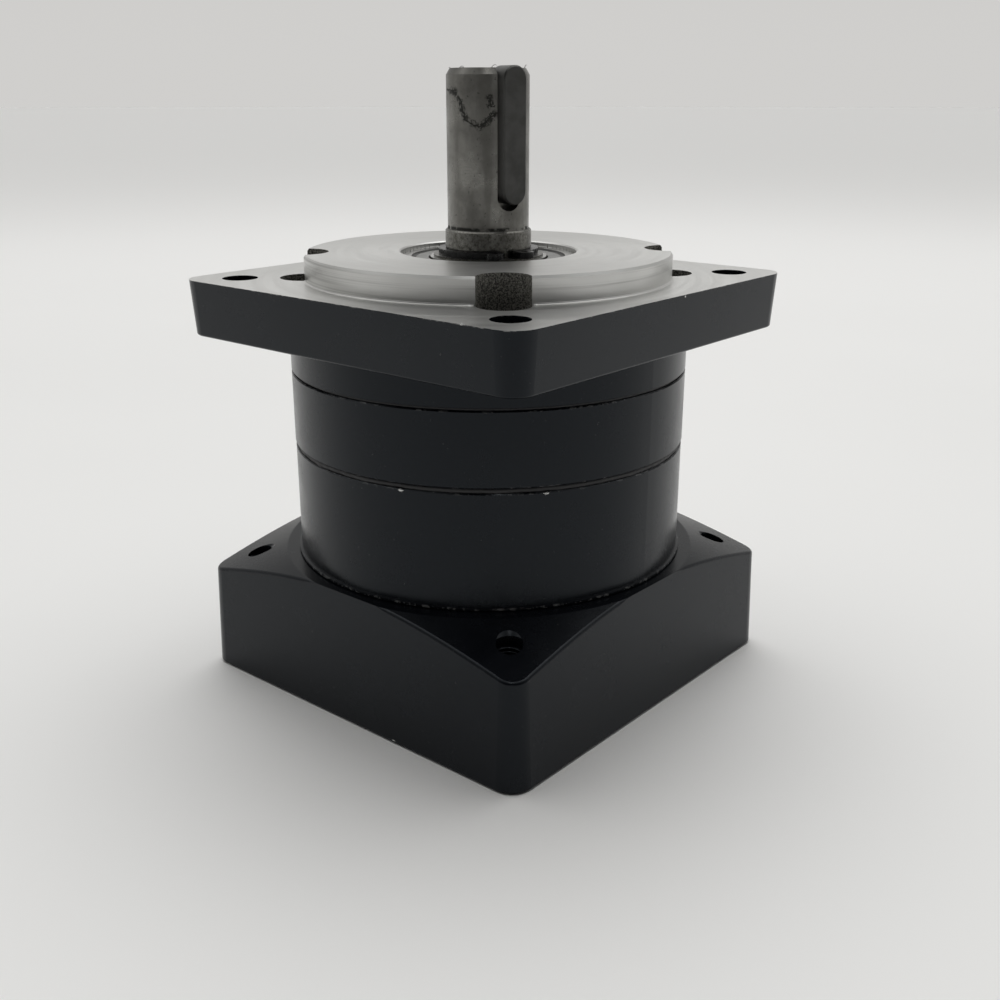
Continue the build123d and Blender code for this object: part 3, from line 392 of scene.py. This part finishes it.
def key_steel():
    """Dull dark steel of the key, with a fine grain along it."""
    m = Finish("key_steel", Metallic=1.0)
    grain = m.noise(m.vector("MULTIPLY", m.place, (1.0, 1.0, 0.15)), 2600.0, 2.0, 0.6)
    cloud = m.noise(m.place, 240.0, 3.0, 0.6)
    base = m.mix_colour(m.ramp(cloud, 0.35, 0.7), KEY, KEY_CLOUD)
    return m.finish(base, m.ramp(cloud, 0.3, 0.7, 0.40, 0.48), None, m.bump(grain, FINE_BUMP, 0.6))


def bearing_shield():
    """Pressed shield: dull steel with a rolled groove round its rim, where a near-black ring is painted as
    the groove's shade.
    """
    m = Finish("bearing_shield", Metallic=1.0)
    cloud = m.noise(m.place, 260.0, 4.0, 0.6)
    # Painted shade: a near-black ring at the groove's radius, in place of the shade in the groove.
    groove_shade = m.ramp(m.radius, SHIELD_GROOVE_R, SHIELD_GROOVE_R + 0.15 * MM)
    base = m.mix_colour(m.ramp(cloud, 0.3, 0.7), SHIELD, SHIELD_CLOUD)
    base = m.mix_colour(groove_shade, base, SHIELD_GROOVE_SHADE)
    fine = m.turned(4200.0, 2.0)
    return m.finish(base, m.ramp(cloud, 0.3, 0.75, 0.32, 0.44), None, m.bump(fine, FINE_BUMP, 0.5))


def plain_metal(name, colour, roughness, metallic=1.0):
    """Metal, bare or oxide coated, with a soft cloud in its gloss and a fine grain."""
    m = Finish(name, Metallic=metallic)
    cloud = m.noise(m.place, 260.0, 4.0, 0.6)
    fine = m.noise(m.place, 6000.0, 2.0, 0.6)
    darker = tuple(0.75 * channel for channel in colour)
    base = m.mix_colour(m.ramp(cloud, 0.3, 0.7), colour, darker)
    rough = m.ramp(cloud, 0.3, 0.75, roughness - 0.04, roughness + 0.08)
    return m.finish(base, rough, None, m.bump(fine, FINE_BUMP, 0.5))


def dull_rubber(name, colour, roughness):
    """Rubber or set sealant, slightly lumpy."""
    m = Finish(name)
    cloud = m.noise(m.place, 700.0, 3.0, 0.6)
    lighter = tuple(1.7 * channel for channel in colour)
    base = m.mix_colour(m.ramp(cloud, 0.35, 0.7), colour, lighter)
    rough = m.ramp(cloud, 0.3, 0.7, roughness - 0.08, roughness + 0.08)
    return m.finish(base, rough, None, m.bump(cloud, 0.00005, 0.6))


MATERIALS = {
    "black_casing": black_casing(),
    "flange_casting": turned_aluminium(),
    "ground_steel": ground_steel(),
    "key_steel": key_steel(),
    "black_oxide_steel": plain_metal("black_oxide_steel", (0.008, 0.008, 0.009), 0.26, metallic=0.0),
    "bearing_steel": plain_metal("bearing_steel", (0.56, 0.56, 0.55), 0.20),
    "bearing_shield": bearing_shield(),
    "cage_brass": plain_metal("cage_brass", (0.58, 0.43, 0.18), 0.32),
    "sealant": dull_rubber("sealant", (0.010, 0.010, 0.011), 0.55),
    "seal_rubber": dull_rubber("seal_rubber", (0.014, 0.014, 0.014), 0.60),
}


def paint_nodes():
    """Give every CAD node the finish of its own material slot."""
    for entry in frame["record"]["subparts"]:
        mesh = NODES[entry["node"]].data
        mesh.materials.clear()
        mesh.materials.append(MATERIALS[entry["material_slot"]])


def paint_casting():
    """Bare metal above the flange's face, rough walls in the notches, and the coat elsewhere."""
    mesh = NODES["front_housing"].data
    mesh.materials.append(MATERIALS["black_casing"])
    mesh.materials.append(cast_wall())
    bare, coated, cast = 0, 1, 2
    slack = 0.01 * MM
    for face in mesh.polygons:
        x, y, z = face.center
        from_notch = math.hypot(abs(x) - NOTCH_OFFSET, abs(y) - NOTCH_OFFSET)
        in_notch = z > NOTCH_SEAT - slack and from_notch < NOTCH_R + 2 * slack
        if in_notch and abs(face.normal.z) < 0.5:
            face.material_index = cast
        elif z > FLANGE_FACE - slack:
            face.material_index = bare
        else:
            face.material_index = coated


# ======================= detail pieces =======================

def new_piece(name, mesh_maker, body, slot):
    """Smooth object made by a function that fills a bmesh, riding on a body and finished from a slot."""
    shape = bmesh.new()
    mesh_maker(shape)
    bmesh.ops.recalc_face_normals(shape, faces=shape.faces[:])
    mesh = bpy.data.meshes.new(name)
    shape.to_mesh(mesh)
    shape.free()
    for polygon in mesh.polygons:
        polygon.use_smooth = True
    piece = bpy.data.objects.new(name, mesh)
    bpy.context.scene.collection.objects.link(piece)
    mesh.materials.append(MATERIALS[slot])
    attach(piece, body)
    return piece


def sweep(shape, rings):
    """Skin closed rings of points in order, with a cap on each end."""
    loops = [[shape.verts.new(point) for point in ring] for ring in rings]
    count = len(loops[0])
    for one, other in zip(loops, loops[1:]):
        for i in range(count):
            j = (i + 1) % count
            shape.faces.new((one[i], one[j], other[j], other[i]))
    shape.faces.new(list(reversed(loops[0])))
    shape.faces.new(loops[-1])


def thread(shape, centre_x, centre_y, bottom, top):
    """Thread ridge inside a tapped hole, as a helix with a blunt triangular section and faded ends."""
    per_turn = 28
    fade_steps = 8
    least_fade = 0.05
    root_r = TAPPED_R + 0.02 * MM
    root_half = THREAD_ROOT_HALF * THREAD_PITCH
    crest_half = THREAD_CREST_HALF * THREAD_PITCH
    steps = int((top - bottom) / THREAD_PITCH * per_turn)
    rings = []
    for step in range(steps + 1):
        angle = 2 * math.pi * step / per_turn
        height = bottom + THREAD_PITCH * step / per_turn
        fade = min(1.0, step / fade_steps, (steps - step) / fade_steps)
        crest_r = TAPPED_R - THREAD_DEPTH * max(fade, least_fade)
        section = (
            (root_r, height - root_half),
            (crest_r, height - crest_half),
            (crest_r, height + crest_half),
            (root_r, height + root_half),
        )
        rings.append([
            (centre_x + r * math.cos(angle), centre_y + r * math.sin(angle), z) for r, z in section
        ])
    sweep(shape, rings)


def add_threads():
    """Threads in the adapter's four tapped corner holes."""
    corner_top = ADAPTER_TOP - ADAPTER_SLOPE * (math.hypot(HOLE_OFFSET, HOLE_OFFSET) - ADAPTER_LAND_R)
    thread_top = corner_top - THREAD_TOP_GAP
    corners = [(side_x, side_y) for side_x in (-1, 1) for side_y in (-1, 1)]
    for number, (side_x, side_y) in enumerate(corners, 1):
        new_piece(
            f"corner_thread_{number}",
            lambda shape: thread(
                shape, side_x * HOLE_OFFSET, side_y * HOLE_OFFSET, THREAD_BOTTOM, thread_top
            ),
            "housing", "black_casing",
        )


def bead(shape, height, half_width, wall_r, lumps, seed):
    """Ring of set sealant in a joint's groove, uneven along its length."""
    turns = 360
    loops = []
    for step in range(turns):
        angle = 2 * math.pi * step / turns
        place = Vector((math.cos(angle), math.sin(angle), seed))
        wave = noise.noise(place * 6.0) + 0.6 * noise.noise(place * 23.0) + 0.3 * noise.noise(place * 61.0)
        outer = wall_r + lumps * wave
        section = (
            (BEAD_FLOOR_R, -half_width),
            (outer - BEAD_ROUNDING, -half_width),
            (outer, -0.35 * half_width),
            (outer, 0.35 * half_width),
            (outer - BEAD_ROUNDING, half_width),
            (BEAD_FLOOR_R, half_width),
        )
        loops.append([
            shape.verts.new((r * math.cos(angle), r * math.sin(angle), height + z)) for r, z in section
        ])
    for step in range(turns):
        one, other = loops[step], loops[(step + 1) % turns]
        for i in range(len(one)):
            j = (i + 1) % len(one)
            shape.faces.new((one[i], one[j], other[j], other[i]))


def add_sealant():
    """Two uneven beads of sealant in place of the plain rings."""
    upper = new_piece(
        "upper_sealant_bead",
        lambda shape: bead(shape, UPPER_JOINT, 0.28 * MM, BODY_R - 0.40 * MM, 0.06 * MM, 3.0),
        "housing", "sealant",
    )
    lower = new_piece(
        "lower_sealant_bead",
        lambda shape: bead(shape, LOWER_JOINT, 0.48 * MM, BODY_R - 0.34 * MM, 0.16 * MM, 8.0),
        "housing", "sealant",
    )
    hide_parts("joint_sealant")
    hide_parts("joint_sealant")


def fleck(shape, centre, outward, sizes, seed):
    """Small flat irregular chip: a squashed ball with uneven sides. Its half sizes are in millimetres."""
    up = Vector((0, 0, 1))
    across = up.cross(outward)
    along, high, deep = (size * MM for size in sizes)
    made = bmesh.ops.create_icosphere(shape, subdivisions=2, radius=1.0)
    for vert in made["verts"]:
        uneven = 1.0 + 0.45 * noise.noise(vert.co * 1.7 + Vector((seed, 0, 0)))
        offset = across * vert.co.x * along + up * vert.co.y * high + outward * vert.co.z * deep
        vert.co = centre + offset * uneven


def add_chips():
    """Bare chips on the rim below the lower joint, where the coat is knocked off."""
    spots = (
        # name, angle in degrees, half sizes
        ("joint_chip_1", -72.7, (0.60, 0.28, 0.12)),
        ("joint_chip_2", -34.3, (0.60, 0.30, 0.12)),
    )
    for name, angle, sizes in spots:
        turn = math.radians(angle)
        outward = Vector((math.cos(turn), math.sin(turn), 0))
        centre = outward * CHIP_R + Vector((0, 0, CHIP_HEIGHT))
        new_piece(
            name,
            lambda shape: fleck(shape, centre, outward, sizes, angle),
            "housing", "bearing_steel",
        )


def burr(shape, start, length, lift):
    """Sliver that starts on the shaft's end, rises, leans outward and thins."""
    steps = 8
    rings = []
    for step in range(steps + 1):
        t = step / steps
        turn = start + t * length / BURR_RING_R
        height = SHAFT_END - 0.05 * MM + lift * math.sin(math.pi * 0.75 * t)
        r = BURR_RING_R + BURR_DRIFT * t * t
        centre = Vector((r * math.cos(turn), r * math.sin(turn), height))
        outward = Vector((math.cos(turn), math.sin(turn), 0))
        thin = BURR_THICKNESS * (1.0 - 0.7 * t)
        rings.append([
            centre + outward * thin,
            centre + Vector((0, 0, thin)),
            centre - outward * thin,
            centre - Vector((0, 0, thin)),
        ])
    sweep(shape, rings)


def add_burrs():
    """Tiny curled burrs left on the shaft's end by turning."""
    spots = (
        # start angle in degrees, length and lift in millimetres
        (-96.0, 1.3, 0.30),
        (-44.0, 1.0, 0.50),
        (24.0, 1.1, 0.60),
        (95.0, 0.7, 0.25),
        (168.0, 0.9, 0.35),
        (-150.0, 0.8, 0.20),
    )
    for number, (angle, length, lift) in enumerate(spots, 1):
        new_piece(
            f"shaft_burr_{number}",
            lambda shape: burr(shape, math.radians(angle), length * MM, lift * MM),
            "output", "black_oxide_steel",
        )


def root_fillet(shape, low, high):
    """Fillet in the corner between the pilot's wall and the flange's face, from one angle to another."""
    steps = 60
    arc_steps = 6
    sunk = 0.03 * MM
    rings = []
    for step in range(steps + 1):
        turn = low + (high - low) * step / steps
        section = [(PILOT_R - sunk, FLANGE_FACE - sunk), (PILOT_R - sunk, FLANGE_FACE + FILLET_R)]
        for part in range(arc_steps + 1):
            slope = math.pi * (1.0 + part / (2 * arc_steps))
            section.append((
                PILOT_R + FILLET_R + FILLET_R * math.cos(slope),
                FLANGE_FACE + FILLET_R + FILLET_R * math.sin(slope),
            ))
        section.append((PILOT_R + FILLET_R, FLANGE_FACE - sunk))
        rings.append([(r * math.cos(turn), r * math.sin(turn), z) for r, z in section])
    sweep(shape, rings)


def add_root_fillets():
    """Small fillets left by the tool round the foot of the pilot, between the notches."""
    clear_of_notch = 0.4
    half_notch = math.degrees(2 * math.asin(NOTCH_R / (2 * PILOT_R))) + clear_of_notch
    for number in range(4):
        low = math.radians(45 + 90 * number + half_notch)
        high = math.radians(135 + 90 * number - half_notch)
        new_piece(
            f"pilot_root_fillet_{number + 1}",
            lambda shape: root_fillet(shape, low, high),
            "housing", "flange_casting",
        )


def add_nicks():
    """Small bright nicks on the flange's upper edges and low on the foot."""
    spots = (
        # name, along X, along Y, height, half sizes
        ("flange_nick_1", 31.8 * MM, -FLANGE_SIDE, FLANGE_FACE, (0.35, 0.16, 0.10)),
        ("flange_nick_2", FLANGE_SIDE, 4.5 * MM, FLANGE_FACE - 0.3 * MM, (0.30, 0.22, 0.08)),
        ("flange_nick_3", -21.0 * MM, FLANGE_SIDE, FLANGE_FACE, (0.40, 0.14, 0.08)),
        ("foot_nick_1", -FOOT_SIDE, -FOOT_SIDE + 2.6 * MM, 5.2 * MM, (0.16, 0.30, 0.05)),
        ("foot_nick_2", 13.0 * MM, -FOOT_SIDE, 0.6 * MM, (0.45, 0.12, 0.06)),
    )
    for number, (name, x, y, z, sizes) in enumerate(spots):
        if abs(y) > abs(x):
            outward = Vector((0, math.copysign(1, y), 0))
        else:
            outward = Vector((math.copysign(1, x), 0, 0))
        new_piece(
            name,
            lambda shape: fleck(shape, Vector((x, y, z)), outward, sizes, number),
            "housing", "bearing_steel",
        )


# ======================= camera, floor and light =======================

WALL_LOW = (0.63, 0.622, 0.608)
WALL_HIGH = (0.46, 0.456, 0.447)
OVERHEAD = (1.85, 1.85, 1.83)
DARK_SIDE = (0.035, 0.035, 0.036)
DARK_SIDE_LIFT = math.radians(16)
FLOOR_NEAR = (0.87, 0.867, 0.857)
FLOOR_CLOUD = (0.85, 0.847, 0.837)
FLOOR_FAR = (0.955, 0.95, 0.94)
FLOOR_SHADE = (0.25, 0.25, 0.25)


def add_camera():
    """Camera a little below the height of the shaft's end, looking down at one corner of the flange."""
    data = bpy.data.cameras.new("camera")
    data.lens = CAMERA_LENS
    data.sensor_width = SENSOR_WIDTH
    data.clip_start = 0.005
    data.clip_end = 50.0
    camera = bpy.data.objects.new("camera", data)
    camera.location = (
        CAMERA_DISTANCE * math.sin(CAMERA_AZIMUTH),
        -CAMERA_DISTANCE * math.cos(CAMERA_AZIMUTH),
        CAMERA_HEIGHT,
    )
    camera.rotation_euler = (math.pi / 2 - CAMERA_PITCH, 0.0, CAMERA_AZIMUTH + CAMERA_YAW)
    bpy.context.scene.collection.objects.link(camera)
    bpy.context.scene.camera = camera


def add_floor():
    """Wide pale floor, lighter far out, where it meets the wall's tone, and slightly shaded in front."""
    shape = bmesh.new()
    bmesh.ops.create_circle(shape, cap_ends=True, segments=96, radius=FLOOR_R)
    mesh = bpy.data.meshes.new("floor")
    shape.to_mesh(mesh)
    shape.free()
    floor = bpy.data.objects.new("floor", mesh)
    floor.location.z = -FLOOR_DROP
    bpy.context.scene.collection.objects.link(floor)
    m = Finish("pale_floor", Specular_IOR_Level=0.2)
    cloud = m.noise(m.place, 3.0, 3.0, 0.5)
    colour = m.mix_colour(m.ramp(cloud, 0.3, 0.7), FLOOR_NEAR, FLOOR_CLOUD)
    colour = m.mix_colour(m.ramp(m.radius, 0.25, 0.9), colour, FLOOR_FAR)
    under_camera = (
        UNDER_CAMERA_DISTANCE * math.sin(CAMERA_AZIMUTH),
        -UNDER_CAMERA_DISTANCE * math.cos(CAMERA_AZIMUTH),
        0.0,
    )
    away = m.vector("LENGTH", m.vector("SUBTRACT", m.place, under_camera))
    colour = m.mix_colour(m.ramp(away, 0.14, 0.32, 0.15, 0.0), colour, FLOOR_SHADE)
    mesh.materials.append(m.finish(colour, 0.6))


def add_area(name, place, target, size, watts):
    """Round lamp that faces a target."""
    data = bpy.data.lights.new(name, "AREA")
    data.shape = "DISK"
    data.size = size
    data.energy = watts
    light = bpy.data.objects.new(name, data)
    light.location = place
    aim = Vector(target) - Vector(place)
    light.rotation_euler = aim.to_track_quat("-Z", "Y").to_euler()
    bpy.context.scene.collection.objects.link(light)


def add_light():
    """Pale room, bright overhead and dark behind the camera, with a broad soft light and a small lamp."""
    world = bpy.data.worlds.new("pale_room")
    world.use_nodes = True
    t = Tree(world.node_tree)
    output = t.add("ShaderNodeOutputWorld")
    background = t.add("ShaderNodeBackground")
    t.tree.links.new(background.outputs[0], output.inputs[0])
    direction = t.add("ShaderNodeTexCoord").outputs["Generated"]
    towards = (
        math.sin(CAMERA_AZIMUTH) * math.cos(DARK_SIDE_LIFT),
        -math.cos(CAMERA_AZIMUTH) * math.cos(DARK_SIDE_LIFT),
        math.sin(DARK_SIDE_LIFT),
    )
    facing = t.vector("DOT_PRODUCT", direction, towards)
    dark = t.ramp(facing, -0.30, 0.90)
    up = t.add("ShaderNodeSeparateXYZ", Vector=direction).outputs["Z"]
    wall = t.mix_colour(t.ramp(up, 0.02, 0.45), WALL_LOW, WALL_HIGH)
    pale = t.mix_colour(t.ramp(up, 0.45, 0.95), wall, OVERHEAD)
    t.set(background.inputs["Color"], t.mix_colour(dark, pale, DARK_SIDE))
    background.inputs["Strength"].default_value = 1.0
    bpy.context.scene.world = world

    add_area("top_light", place=(-0.22, 0.32, 0.95), target=(0, 0, 0.05), size=0.9, watts=2.9)
    add_area("front_lamp", place=(0.20, -0.24, 0.85), target=(0, 0, 0.08), size=0.08, watts=0.35)
    bpy.context.scene.view_settings.view_transform = "Standard"


paint_nodes()
paint_casting()
add_threads()
add_sealant()
add_chips()
add_burrs()
add_root_fillets()
add_nicks()
add_camera()
add_floor()
add_light()
